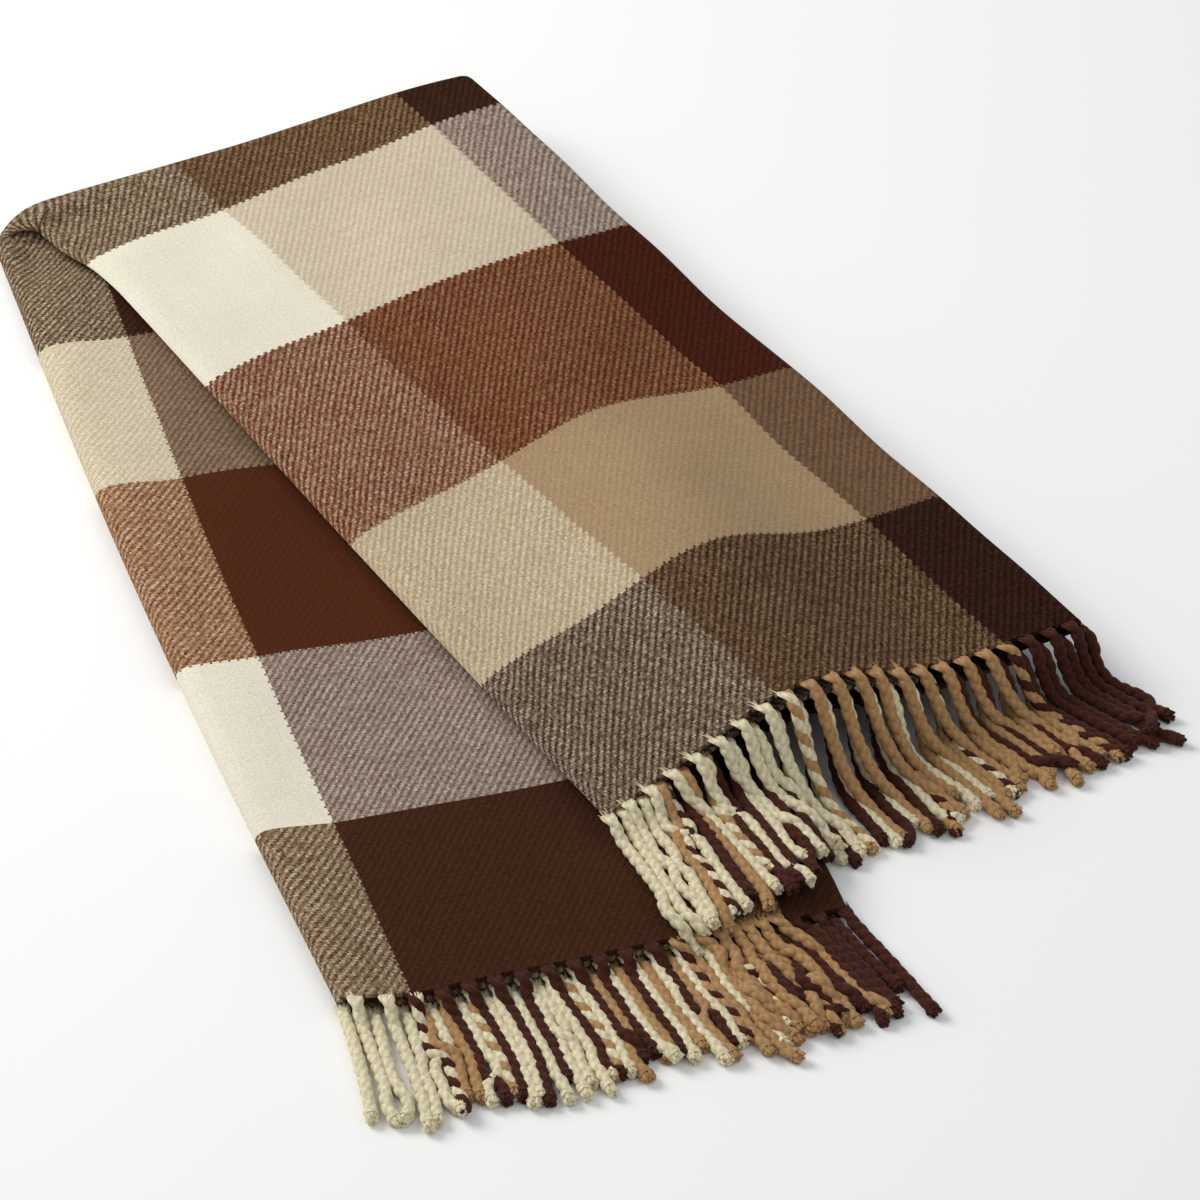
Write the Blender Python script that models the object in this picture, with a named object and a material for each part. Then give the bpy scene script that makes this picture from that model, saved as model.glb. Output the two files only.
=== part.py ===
# A folded plaid throw: one fringed cloth, folded twice along its length into a strip of three
# layers, then folded once across. The two halves fan apart a little at the fringed ends.
# Metres, +Z up. The fold across lies along X at the back, and both fringes point to -Y.
import math

import bmesh
import bpy
import numpy as np

# The woven pattern
SQUARE = 0.165  # width of one warp stripe
BEIGE_BAND, RUST_BAND, WHITE_BAND, END_BAND = SQUARE, 1.246 * SQUARE, SQUARE, 0.925 * SQUARE
FIRST_TAN = 0.095  # the tan stripe at the first selvedge is cut short
CLOTH_THICKNESS = 0.003
LAYER_PITCH = 0.006  # from the middle of one layer to the next, in the folded stack

# The folds along the length: U is the place across the flat cloth, from its first selvedge
LEFT_FOLD_AT_BACK = FIRST_TAN + SQUARE + 0.065
LEFT_FOLD_TAPER = 0.027  # the left fold runs off the stripes by this much per metre
CREAM_END = FIRST_TAN + 2 * SQUARE
RIGHT_FOLD = CREAM_END + 0.2283
CLOTH_WIDTH = RIGHT_FOLD + 0.315
LEFT_ROLL = LAYER_PITCH
RIGHT_ROLL = LAYER_PITCH / 2
ROLL_PLACES = 7  # rows of points round each roll

# The fold across, and the two halves that fan out from it
HALF_FAN = math.radians(5.85)
FOLD_LINE_Y = 0.4774  # with the origin under the middle of the whole object
UPPER_CORNER_X = -0.1514  # the left end of each half's edge at the fold across
LOWER_CORNER_X = -0.1864
MIDDLE_HEIGHT = 2.5 * LAYER_PITCH + CLOTH_THICKNESS / 2
PATTERN_LENGTH = BEIGE_BAND + RUST_BAND + WHITE_BAND + END_BAND
UPPER_END = 0.0724 + PATTERN_LENGTH
LOWER_END = 0.1621 + PATTERN_LENGTH
BACK_BULGE = 0.012  # the fold across stands out more at its right end
SEAM_GAP = 0.0008  # from each half to the fold across
HALF_STEPS, BACK_STEPS = 8, 8

# How the upper half drapes over the edge of the lower half
RIDGE_HEIGHT = 0.028
RIDGE_POWER = 1.2  # the ridge grows from the back to the front
RIDGE_INSET = 0.015
RIDGE_WIDTH = 0.055
DROP = 0.016
DROP_PLACE = (0.012, 0.09)  # outside the lower half's edge
DROP_START = (0.15, 0.45)  # share of the way to the front
PUFF = 0.007
PUFF_PLACE = (0.04, 0.2)  # across the strip
RISE_END = 0.6  # share of the turn at the back where the drape has faded

# The fringe
TASSELS_PER_SQUARE = 10.5
TASSEL_PITCH = SQUARE / TASSELS_PER_SQUARE
TASSEL_WIDTH = 0.005
TASSEL_LENGTH = 0.098
HEADING = 0.005
FRINGE_GAP = 0.0004
TASSEL_LAYER_PITCH = 0.0055
TASSEL_REST = 0.0035  # height of a lying tassel's middle over what it lies on
TASSEL_STEPS = 4
HANG_REACH = 0.08  # length over which a tassel comes down from the cloth
EDGE_TO_FLOOR = (0.012, 0.07)
NORMAL_STEP = 0.0005

COLOURS = {
    "cream": (0.78, 0.72, 0.56),
    "tan": (0.55, 0.37, 0.20),
    "brown": (0.085, 0.028, 0.018),
    "cloth": (0.30, 0.20, 0.13),
}
STRIPES = ("tan", "brown", "cream", "tan", "brown", "cream", "tan")
LAYERS = ("bottom", "middle", "top")


def clear_scene():
    for obj in list(bpy.data.objects):
        bpy.data.objects.remove(obj, do_unlink=True)


def smooth(low, high, value):
    t = min(max((value - low) / (high - low), 0.0), 1.0)
    return t * t * (3 - 2 * t)


def left_fold(w):
    """Where across the cloth the left fold lies, at the distance w from the fold across."""
    return LEFT_FOLD_AT_BACK - LEFT_FOLD_TAPER * abs(w)


def strip_width(w):
    rolls = math.pi / 2 * (LEFT_ROLL + RIGHT_ROLL)
    return LEFT_ROLL + RIGHT_FOLD - left_fold(w) - rolls + RIGHT_ROLL


def section(u, w):
    """The letter fold: place s across the strip, and height d from the middle of the stack."""
    quarter_left, quarter_right = math.pi / 2 * LEFT_ROLL, math.pi / 2 * RIGHT_ROLL
    along = u - left_fold(w)
    past_right = u - RIGHT_FOLD
    if abs(along) < quarter_left:
        angle = along / LEFT_ROLL
        return LEFT_ROLL * (1 - math.cos(angle)), 1.5 * LAYER_PITCH + LEFT_ROLL * math.sin(angle)
    if along < 0:
        return LEFT_ROLL - along - quarter_left, 0.5 * LAYER_PITCH
    if past_right < -quarter_right:
        return LEFT_ROLL + along - quarter_left, 2.5 * LAYER_PITCH
    if past_right < quarter_right:
        angle = past_right / RIGHT_ROLL
        width = strip_width(w) - RIGHT_ROLL * (1 - math.cos(angle))
        return width, 2 * LAYER_PITCH - RIGHT_ROLL * math.sin(angle)
    return strip_width(w) - RIGHT_ROLL - (past_right - quarter_right), 1.5 * LAYER_PITCH


def past_lower_edge(x, y):
    """How far a place lies outside the right edge of the lower half (negative inside)."""
    dx, dy = x - LOWER_CORNER_X, y - FOLD_LINE_Y
    s = dx * math.cos(HALF_FAN) - dy * math.sin(HALF_FAN)
    w = -dx * math.sin(HALF_FAN) - dy * math.cos(HALF_FAN)
    return s - strip_width(w)


def drape(x, y, s, d):
    """Rise of the upper half over the lower one's edge, and its fall to the floor beyond."""
    level = d / (2.5 * LAYER_PITCH)
    forward = max(FOLD_LINE_Y - y, 0.0) / UPPER_END
    past = past_lower_edge(x, y)
    ridge = RIDGE_HEIGHT * forward ** RIDGE_POWER * math.exp(-(((past + RIDGE_INSET) / RIDGE_WIDTH) ** 2))
    drop = DROP * smooth(*DROP_PLACE, past) * smooth(*DROP_START, forward)
    puff = PUFF * level * smooth(*PUFF_PLACE, s)
    # the lowest layer takes half of the ridge, and the top layer half of the drop
    return ridge * (1 + level) / 2 - drop * (1 - level / 2) + puff


def on_upper(u, w):
    s, d = section(u, w)
    x = UPPER_CORNER_X + s * math.cos(HALF_FAN) + w * math.sin(HALF_FAN)
    y = FOLD_LINE_Y + s * math.sin(HALF_FAN) - w * math.cos(HALF_FAN)
    return np.array((x, y, MIDDLE_HEIGHT + d + drape(x, y, s, d)))


def on_lower(u, w):
    s, d = section(u, w)
    x = LOWER_CORNER_X + s * math.cos(HALF_FAN) - w * math.sin(HALF_FAN)
    y = FOLD_LINE_Y - s * math.sin(HALF_FAN) - w * math.cos(HALF_FAN)
    return np.array((x, y, MIDDLE_HEIGHT - d))


def on_back_fold(u, turn):
    """The half turn at the back, turn 0 at the upper half and 1 at the lower one."""
    s, d = section(u, 0.0)
    slope = math.tan(HALF_FAN)
    corner = UPPER_CORNER_X + (LOWER_CORNER_X - UPPER_CORNER_X) * smooth(0, 1, turn)
    x = corner + s * (math.cos(HALF_FAN) + slope * math.sin(HALF_FAN))
    angle = math.pi * turn
    rise = drape(x, FOLD_LINE_Y, s, d) * (1 - smooth(0, RISE_END, turn))
    reach = d + BACK_BULGE * s / strip_width(0.0) * math.sin(angle) * d / (2.5 * LAYER_PITCH)
    y = FOLD_LINE_Y + SEAM_GAP * math.sin(angle) + reach * math.sin(angle)
    return np.array((x, y, MIDDLE_HEIGHT + d * math.cos(angle) + rise))


def across_places():
    """Places across the cloth, close together round the two rolls."""
    turns = np.linspace(-1, 1, ROLL_PLACES)
    left = [LEFT_FOLD_AT_BACK + t * math.pi / 2 * LEFT_ROLL for t in turns]
    right = [RIGHT_FOLD + t * math.pi / 2 * RIGHT_ROLL for t in turns]
    flats = [
        np.linspace(0.0, left[0], 6)[:-1],
        left,
        np.linspace(left[-1], right[0], 8)[1:-1],
        right,
        np.linspace(right[-1], CLOTH_WIDTH, 6)[1:],
    ]
    return np.concatenate(flats)


def make_material(name):
    material = bpy.data.materials.new(name)
    material.use_nodes = True
    shader = material.node_tree.nodes["Principled BSDF"]
    shader.inputs["Base Color"].default_value = (*COLOURS[name.split("_")[0]], 1.0)
    shader.inputs["Roughness"].default_value = 0.95
    shader.inputs["Metallic"].default_value = 0.0
    return material


def add_object(name, verts, faces, slot, parent=None):
    origin = np.array(parent.location) if parent else np.zeros(3)
    mesh = bpy.data.meshes.new(name)
    mesh.from_pydata([tuple(v - origin) for v in verts], [], faces)
    mesh.update()
    obj = bpy.data.objects.new(name, mesh)
    bpy.context.collection.objects.link(obj)
    obj.parent = parent
    mesh.materials.append(make_material(f"{slot}_{name}"))
    return obj


def face_outwards(obj):
    bm = bmesh.new()
    bm.from_mesh(obj.data)
    bmesh.ops.recalc_face_normals(bm, faces=bm.faces[:])
    bm.to_mesh(obj.data)
    bm.free()


def add_sheet(name, rows, parent=None):
    """A cloth from rows of points on its middle surface, thickened both ways."""
    count = len(rows[0])
    verts = [point for row in rows for point in row]
    faces = []
    for r in range(len(rows) - 1):
        for c in range(count - 1):
            a = r * count + c
            faces.append((a, a + 1, a + count + 1, a + count))
    obj = add_object(name, verts, faces, "cloth", parent)
    for polygon in obj.data.polygons:
        polygon.use_smooth = True
    thick = obj.modifiers.new("thickness", "SOLIDIFY")
    thick.thickness = CLOTH_THICKNESS
    thick.offset = 0.0
    return obj


def half_rows(place, end, side, steps):
    """Rows of points from the oblique cut at the fold across to the fringed end."""
    rows = []
    for step in range(steps + 1):
        row = []
        for u in across_places():
            s, _ = section(u, 0.0)
            start = (SEAM_GAP + side * s * math.sin(HALF_FAN)) / math.cos(HALF_FAN)
            w = start + (end - start) * step / steps
            u_here = follow_fold(u, w)
            row.append(place(u_here, w))
        rows.append(row)
    return rows


def follow_fold(u, w):
    """Keeps the points of the left roll on it where the fold runs off the stripes."""
    shift = left_fold(w) - LEFT_FOLD_AT_BACK
    if u < LEFT_FOLD_AT_BACK:
        return u + shift * u / LEFT_FOLD_AT_BACK
    return u + shift * max(0.0, (RIGHT_FOLD - u) / (RIGHT_FOLD - LEFT_FOLD_AT_BACK))


def ground_height(x, y, upper):
    """Height of what the fringe lies on: the lower half's cloth, or the floor."""
    on_floor = TASSEL_REST
    if not upper:
        return on_floor
    on_cloth = MIDDLE_HEIGHT - 0.5 * LAYER_PITCH + CLOTH_THICKNESS / 2 + TASSEL_REST
    return on_cloth + (on_floor - on_cloth) * smooth(*EDGE_TO_FLOOR, past_lower_edge(x, y))


def tassel_centre(place, end, u, reach, level, upper):
    edge = place(u, end + HEADING)
    here = place(u, end + HEADING + reach)
    rest = ground_height(here[0], here[1], upper) + level * TASSEL_LAYER_PITCH
    hang = 1 - smooth(0.0, HANG_REACH, reach)
    here[2] = rest + (edge[2] - rest) * hang
    return here


def heading_corners(place, u, w):
    """The two faces of the cloth at one place of its fringed edge."""
    across = place(u + NORMAL_STEP, w) - place(u - NORMAL_STEP, w)
    across[1] = 0.0
    normal = np.array((-across[2], 0.0, across[0])) / np.linalg.norm(across)
    centre = place(u, w)
    return centre - normal * CLOTH_THICKNESS / 2, centre + normal * CLOTH_THICKNESS / 2


def add_fringe(name, colour, place, end, tassels, level, upper, parent=None):
    """One comb of tassels on the warp ends that hold them, as a single closed body."""
    side = (TASSEL_PITCH - TASSEL_WIDTH) / 2
    verts, faces = [], []

    def add(points):
        verts.extend(points)
        return list(range(len(verts) - len(points), len(verts)))

    def ring_at(u):
        """Four points round the heading: back lower, back upper, front upper, front lower."""
        back = heading_corners(place, u, end + FRINGE_GAP)
        front = heading_corners(place, u, end + HEADING)
        return add([back[0], back[1], front[1], front[0]])

    def join(one, two, skip_front):
        for i in range(4):
            if not (skip_front and i == 2):
                j = (i + 1) % 4
                faces.append((one[i], one[j], two[j], two[i]))

    last = ring_at(tassels[0] - TASSEL_PITCH / 2 + FRINGE_GAP)
    faces.append(tuple(last))
    for number, u in enumerate(tassels):
        final = number == len(tassels) - 1
        edges = [u - TASSEL_WIDTH / 2, u + TASSEL_WIDTH / 2]
        edges.append(u + TASSEL_PITCH / 2 - (FRINGE_GAP if final else 0.0))
        near, far, gap_end = (ring_at(edge) for edge in edges)
        join(last, near, False)
        join(near, far, True)
        join(far, gap_end, False)
        last = gap_end
        ring = [near[3], near[2], far[2], far[3]]
        start = tassel_centre(place, end, u, 0.0, level, upper)
        offsets = [verts[i] - start for i in ring]
        for step in range(1, TASSEL_STEPS + 1):
            reach = TASSEL_LENGTH * step / TASSEL_STEPS
            centre = tassel_centre(place, end, u, reach, level, upper)
            following = add([centre + offset for offset in offsets])
            for i in range(4):
                j = (i + 1) % 4
                faces.append((ring[i], ring[j], following[j], following[i]))
            ring = following
        faces.append(tuple(ring))
    faces.append(tuple(last))
    obj = add_object(name, verts, faces, colour, parent)
    face_outwards(obj)
    return obj


def fringe_groups():
    """The tassels sorted by the layer and the warp stripe that they belong to."""
    groups = {}
    for number in range(int(CLOTH_WIDTH / TASSEL_PITCH)):
        u = (number + 0.5) * TASSEL_PITCH
        stripe = STRIPES[max(0, math.ceil((u - FIRST_TAN) / SQUARE))]
        if u < left_fold(UPPER_END):
            layer = "bottom"
        else:
            layer = "top" if u < RIGHT_FOLD else "middle"
        groups.setdefault((LAYERS.index(layer), stripe), []).append(u)
    return groups


def build_half(side, parent=None):
    """One half with its three layers and its fringe; the lower half is turned over."""
    upper = side == "upper"
    place, end, turn = (on_upper, UPPER_END, 1) if upper else (on_lower, LOWER_END, -1)
    add_sheet(f"cloth_{side}_half", half_rows(place, end, turn, HALF_STEPS), parent)
    for (level, stripe), tassels in fringe_groups().items():
        if not upper:
            level = 2 - level
        name = f"fringe_{side}_{LAYERS[level]}_{stripe}"
        add_fringe(name, stripe, place, end, tassels, level, upper, parent)


def build():
    clear_scene()
    axis = bpy.data.objects.new("fold_axis", None)
    axis.location = (0.0, FOLD_LINE_Y, MIDDLE_HEIGHT)
    bpy.context.collection.objects.link(axis)
    build_half("lower")
    turns = np.linspace(0.0, 1.0, BACK_STEPS + 1)
    back = [[on_back_fold(u, turn) for u in across_places()] for turn in turns]
    add_sheet("cloth_back_fold", back)
    build_half("upper", axis)


build()
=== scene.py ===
import math

import bpy
import numpy as np
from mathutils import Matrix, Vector


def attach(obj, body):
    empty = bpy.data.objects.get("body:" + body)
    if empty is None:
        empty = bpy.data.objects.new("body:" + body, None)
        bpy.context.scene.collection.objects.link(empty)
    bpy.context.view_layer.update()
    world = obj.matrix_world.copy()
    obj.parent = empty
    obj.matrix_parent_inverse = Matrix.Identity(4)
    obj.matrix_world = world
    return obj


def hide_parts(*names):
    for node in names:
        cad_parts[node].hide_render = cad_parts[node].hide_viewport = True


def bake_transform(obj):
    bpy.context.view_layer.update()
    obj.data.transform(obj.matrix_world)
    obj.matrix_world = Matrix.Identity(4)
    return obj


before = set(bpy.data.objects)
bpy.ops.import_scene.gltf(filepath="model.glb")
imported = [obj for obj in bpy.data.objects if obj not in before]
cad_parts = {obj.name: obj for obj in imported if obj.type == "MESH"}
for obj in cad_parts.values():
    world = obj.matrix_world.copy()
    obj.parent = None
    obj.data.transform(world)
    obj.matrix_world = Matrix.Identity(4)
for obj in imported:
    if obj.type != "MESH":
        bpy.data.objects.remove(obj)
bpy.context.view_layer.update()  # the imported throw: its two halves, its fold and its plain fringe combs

# A folded plaid throw: letter fold along its length, then one fold across at the back.
# u runs across the flat cloth from its first selvedge, v along it from the lower fringe.

bpy.ops.object.select_all(action="DESELECT")


# the camera comes first
view = {
    "place": (-1.1061, -2.5499, 2.0342),
    "aim": (0.0225, -0.0663, 0.0068),
    "lens": 162.7,
}


def addCamera():
    place = Vector(view["place"])
    turn = (Vector(view["aim"]) - place).to_track_quat("-Z", "Y").to_euler()
    bpy.ops.object.camera_add(location=place, rotation=turn)
    camera = bpy.context.object
    camera.name = "roomCamera"
    camera.data.lens = view["lens"]
    camera.data.sensor_width = 36.0
    camera.data.clip_end = 60.0
    bpy.context.scene.camera = camera


print("camera")
addCamera()

# the cloth: its stripes, its folds and how it lies
square = 0.165  # one warp stripe
pattern = {
    "square": square,
    "beigeBand": square,
    "rustBand": 1.246 * square,
    "whiteBand": square,
    "endBand": 0.925 * square,
    "firstTan": 0.095,  # the stripe at the first selvedge is cut short
}
folds = {
    "thickness": 0.003,
    "pitch": 0.006,  # middle of one layer to the next
    "leftFold": pattern["firstTan"] + square + 0.065,
    "leftTaper": 0.027,
    "rightFold": pattern["firstTan"] + 2 * square + 0.2233,
    "rightFlap": 0.320,  # the middle layer, from the right fold to its selvedge
    "leftRoll": (0.012, 0.006),  # how far the left fold reaches out, and half its height
    "rightRoll": (0.007, 0.003),
    "halfFan": math.radians(5.85),
    "foldLine": 0.4774,  # y of the fold across
    "upperCorner": -0.1514,
    "lowerCorner": -0.1864,
    "upperSpare": 0.0724,  # what each half has of the middle band
    "lowerSpare": 0.1621,
    "backBulge": 0.012,
    "backArc": 0.045,  # cloth taken up by the turn at the back
    "innerArc": 0.017,  # and by its innermost layer
    "innerTurn": 0.0012,  # height over which the inner layer bends when the throw is opened
    "outerTurn": 0.0070,
}
drape = {
    "ridgeHeight": 0.029,  # where the upper half lies over the edge of the lower one
    "ridgeWidth": 0.068,
    "ridgeInset": 0.015,
    "drop": 0.002,
    "puff": 0.0075,
    "backPuff": 0.013,  # more air in the right end of the fold across
    "backPuffLost": 0.85,  # share of it that is gone further forward
    "leftSag": 0.0052,  # the top layer sinks towards its left fold
    "sagWidth": 0.04,
    "frontPress": 0.36,  # the layers lie closer together at the fringe
    "lowerPress": 0.2,
    "cornerFlare": 0.008,
    "flareLength": 0.13,
    "cornerBulb": 0.005,
    "cornerHollow": 0.006,
    "cornerRound": (0.011, 0.024),  # how far the back left corner is rounded off, and how wide
    "lowerAir": 0.0060,
    "airLostRight": 0.7,
    "airLostFront": 0.6,
    "upperSlide": 0.008,  # the cloth slides along its left fold, so the weft lines bend there
    "lowerSlide": -0.013,
    "slideWidth": 0.055,
    "lowerSqueeze": 0.040,  # the lower half narrows towards its fringe, on its covered side
    "lowerBow": 0.009,  # the lower half bows out a little along its length
    "ripple": 0.0011,
    "lowerRipple": 0.6,
    "rippleRates": (18, 75),
    "rippleCount": 14,
    "columnStep": 0.0045,
    "rowStep": 0.0056,
    "bendSteps": 10,
    "backSteps": 24,
}
# the stretch over which each of these grows from nothing to all of it: across the strip, back from
# the fold and past the lower half's edge in metres, forward as a share of the half
growth = {
    "squeezeAcross": (0.2, 0.32),
    "airLeft": (-0.02, 0.03),
    "airRight": (0.06, 0.14),
    "airBack": (0.02, 0.12),
    "airFront": (0.62, 0.8),
    "hollowBack": (0.0, 0.012),
    "hollowFront": (0.03, 0.085),
    "hollowLeft": (0.0, 0.02),
    "hollowRight": (0.06, 0.12),
    "ridgeForward": (0.05, 0.8),
    "dropPast": (0.012, 0.09),
    "dropForward": (0.15, 0.45),
    "puffAcross": (0.04, 0.2),
    "backPuffAcross": (0.14, 0.30),
    "backPuffForward": (0.05, 0.35),
    "sagLevel": (0.2, 1.0),
    "pressForward": (0.86, 1.0),
    "underPast": (-0.09, 0.02),
    "rippleAcross": (0.0, 0.03),
    "rippleForward": (0.0, 0.1),
    "flareAcross": (0.0, 0.16),
    "slideBack": (0.02, 0.16),
    "lowerLevel": (0.5, 2.5),
    "lowerPressForward": (0.9, 1.0),
    "bulbAcross": (0.0, 0.08),
    "backRise": (0.0, 0.6),
    "turn": (0.0, 1.0),
}
clothWidth = folds["rightFold"] + folds["rightFlap"]
patternLength = sum(pattern[band] for band in ("beigeBand", "rustBand", "whiteBand", "endBand"))
upperEnd = folds["upperSpare"] + patternLength
lowerEnd = folds["lowerSpare"] + patternLength
clothLength = lowerEnd + folds["backArc"] + upperEnd
topLayer = 2.5 * folds["pitch"]  # from the joint between the halves to the middle of a top layer
middle = topLayer + folds["thickness"] / 2  # height of the joint between the halves
fanCos, fanSin = math.cos(folds["halfFan"]), math.sin(folds["halfFan"])
dice = np.random.default_rng(41)
rippleWaves = [
    (dice.uniform(*drape["rippleRates"]), dice.uniform(0, math.pi), dice.uniform(0, 2 * math.pi))
    for _ in range(drape["rippleCount"])
]


def ease(low, high, value):
    t = np.clip((value - low) / (high - low), 0.0, 1.0)
    return t * t * (3 - 2 * t)


def grown(name, value):
    return ease(*growth[name], value)


def ripple(x, y):
    total = 0.0
    for rate, heading, phase in rippleWaves:
        along = x * math.cos(heading) + y * math.sin(heading)
        total = total + np.sin(rate * along + phase) * drape["rippleRates"][0] / rate
    return drape["ripple"] * total


def cornerRound(s):
    depth, width = drape["cornerRound"]
    return depth * np.clip(1 - s / width, 0.0, 1.0) ** 2


def leftFoldAt(w):
    return folds["leftFold"] - folds["leftTaper"] * np.abs(w)


def quarterTurn(roll):
    return math.pi / 4 * (roll[0] + roll[1])


def stripWidth(w):
    left, right = folds["leftRoll"], folds["rightRoll"]
    flat = folds["rightFold"] - leftFoldAt(w) - quarterTurn(left) - quarterTurn(right)
    return left[0] + flat + right[0]


def section(u, w):
    # place s across the folded strip, and height d from the middle of the stack
    left, right, pitch = folds["leftRoll"], folds["rightRoll"], folds["pitch"]
    quarterLeft, quarterRight = quarterTurn(left), quarterTurn(right)
    along, past, width = u - leftFoldAt(w), u - folds["rightFold"], stripWidth(w)
    leftAngle = math.pi / 2 * along / quarterLeft
    rightAngle = math.pi / 2 * past / quarterRight
    cases = [np.abs(along) < quarterLeft, along < 0, past < -quarterRight, past < quarterRight]
    s = np.select(
        cases,
        [
            left[0] * (1 - np.cos(leftAngle)),
            left[0] - along - quarterLeft,
            left[0] + along - quarterLeft,
            width - right[0] * (1 - np.cos(rightAngle)),
        ],
        width - right[0] - (past - quarterRight),
    )
    d = np.select(
        cases,
        [
            1.5 * pitch + left[1] * np.sin(leftAngle),
            0.5 * pitch + 0 * along,
            2.5 * pitch + 0 * along,
            2 * pitch - right[1] * np.sin(rightAngle),
        ],
        1.5 * pitch + 0 * along,
    )
    return s, d


def lowerBow(y):
    share = np.clip((folds["foldLine"] - y) / lowerEnd, 0.0, 1.0)
    return drape["lowerBow"] * np.sin(math.pi * share)


def lowerSqueeze(s, w):
    end = np.clip(w / lowerEnd, 0.0, 1.0) ** 2
    return drape["lowerSqueeze"] * end * grown("squeezeAcross", s)


def lowerPlace(x, y):
    # s and w of a floor point in the lower half
    dx, dy = x - folds["lowerCorner"] + lowerBow(y), y - folds["foldLine"]
    return dx * fanCos - dy * fanSin, -dx * fanSin - dy * fanCos


def lowerPuff(s, w):
    # the lower half is softest along its open left side, and pinched at the back corner
    right = 1 - drape["airLostRight"] * grown("airRight", s)
    front = 1 - drape["airLostFront"] * grown("airFront", w)
    air = drape["lowerAir"] * grown("airLeft", s) * right
    air = air * grown("airBack", w) * front
    pinch = grown("hollowBack", w) * (1 - grown("hollowFront", w)) * grown("hollowLeft", s)
    return air - drape["cornerHollow"] * pinch * (1 - grown("hollowRight", s))


def drapeRise(x, y, s, d):
    # how far the upper half is lifted off a flat stack at a point of its layer at height d
    level = d / topLayer
    forward = np.maximum(folds["foldLine"] - y, 0.0) / upperEnd
    sLow, wLow = lowerPlace(x, y)
    past = sLow - stripWidth(wLow)
    across = (past + drape["ridgeInset"]) / drape["ridgeWidth"]
    ridge = drape["ridgeHeight"] * grown("ridgeForward", forward) * np.exp(-(across**2))
    drop = drape["drop"] * grown("dropPast", past) * grown("dropForward", forward)
    puff = drape["puff"] * level * grown("puffAcross", s)
    atBack = 1 - drape["backPuffLost"] * grown("backPuffForward", forward)
    puff = puff + drape["backPuff"] * level * grown("backPuffAcross", s) * atBack
    sag = drape["leftSag"] * np.exp(-((s / drape["sagWidth"]) ** 2)) * grown("sagLevel", level)
    press = drape["frontPress"] * (topLayer - d) * grown("pressForward", forward)
    under = lowerPuff(sLow, wLow) * (1 - grown("underPast", past))
    wave = ripple(x, y) * level * grown("rippleAcross", s) * grown("rippleForward", forward)
    lift = ridge * (0.5 + 0.5 * level) - drop * (1 - 0.5 * level)
    return lift + puff - sag + press + under + wave


def cornerFlare(s, w):
    # the upper half's left fold swings out where it meets the fold across
    near = np.clip(1 - w / drape["flareLength"], 0.0, 1.0) ** 1.6
    return drape["cornerFlare"] * near * (1 - grown("flareAcross", s))


def slide(s, w, most):
    near = np.clip(1 - s / drape["slideWidth"], 0.0, 1.0) ** 2
    return w + most * near * grown("slideBack", w)


def onUpper(u, w):
    s, d = section(u, w)
    w = slide(s, w, drape["upperSlide"])
    x = folds["upperCorner"] + s * fanCos + w * fanSin - cornerFlare(s, w)
    y = folds["foldLine"] + s * fanSin - w * fanCos
    return np.stack([x, y, middle + d + drapeRise(x, y, s, d)], axis=-1)


def onLower(u, w):
    s, d = section(u, w)
    s = s - lowerSqueeze(s, w)
    w = slide(s, w, drape["lowerSlide"])
    y = folds["foldLine"] - s * fanSin - w * fanCos
    x = folds["lowerCorner"] + s * fanCos - w * fanSin - lowerBow(y)
    level = 1 - grown("lowerLevel", d / folds["pitch"])
    wave = drape["lowerRipple"] * ripple(x, y) * grown("rippleAcross", s)
    lift = (lowerPuff(s, w) + wave * grown("rippleForward", w)) * level
    lift = lift - drape["lowerPress"] * (topLayer - d) * grown("lowerPressForward", w / lowerEnd)
    return np.stack([x, y, middle - d + lift], axis=-1)


def followFold(u, w):
    # keeps the columns of the left roll on it where the fold runs off the stripes
    shift = leftFoldAt(w) - folds["leftFold"]
    before = u / folds["leftFold"]
    after = (folds["rightFold"] - u) / (folds["rightFold"] - folds["leftFold"])
    return u + shift * np.where(before < 1, before, np.maximum(after, 0.0))


def acrossPlaces():
    quarterLeft = quarterTurn(folds["leftRoll"])
    quarterRight = quarterTurn(folds["rightRoll"])
    stops = [0.0, folds["leftFold"] - quarterLeft, folds["leftFold"] + quarterLeft]
    stops += [folds["rightFold"] - quarterRight, folds["rightFold"] + quarterRight, clothWidth]
    places = []
    for number in range(5):
        span = stops[number + 1] - stops[number]
        count = drape["bendSteps"] if number % 2 else round(span / drape["columnStep"])
        places.append(np.linspace(stops[number], stops[number + 1], count + 1)[:-1])
    return np.concatenate(places + [[clothWidth]])


def halfGrid(place, side):
    # points and weave coordinates of one half, from the fold across to the fringe
    u = acrossPlaces()
    s, _ = section(u, np.zeros_like(u))
    start = side * s * fanSin / fanCos + cornerRound(s)
    end = upperEnd if side > 0 else lowerEnd
    t = np.linspace(0.0, 1.0, round(end / drape["rowStep"]) + 1)[:, None]
    w = start + (end - start) * t
    uHere = followFold(u + 0 * t, w)
    v = lowerEnd + folds["backArc"] + w if side > 0 else lowerEnd - w
    return place(uHere, w), np.stack([uHere, v], axis=-1)


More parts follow.
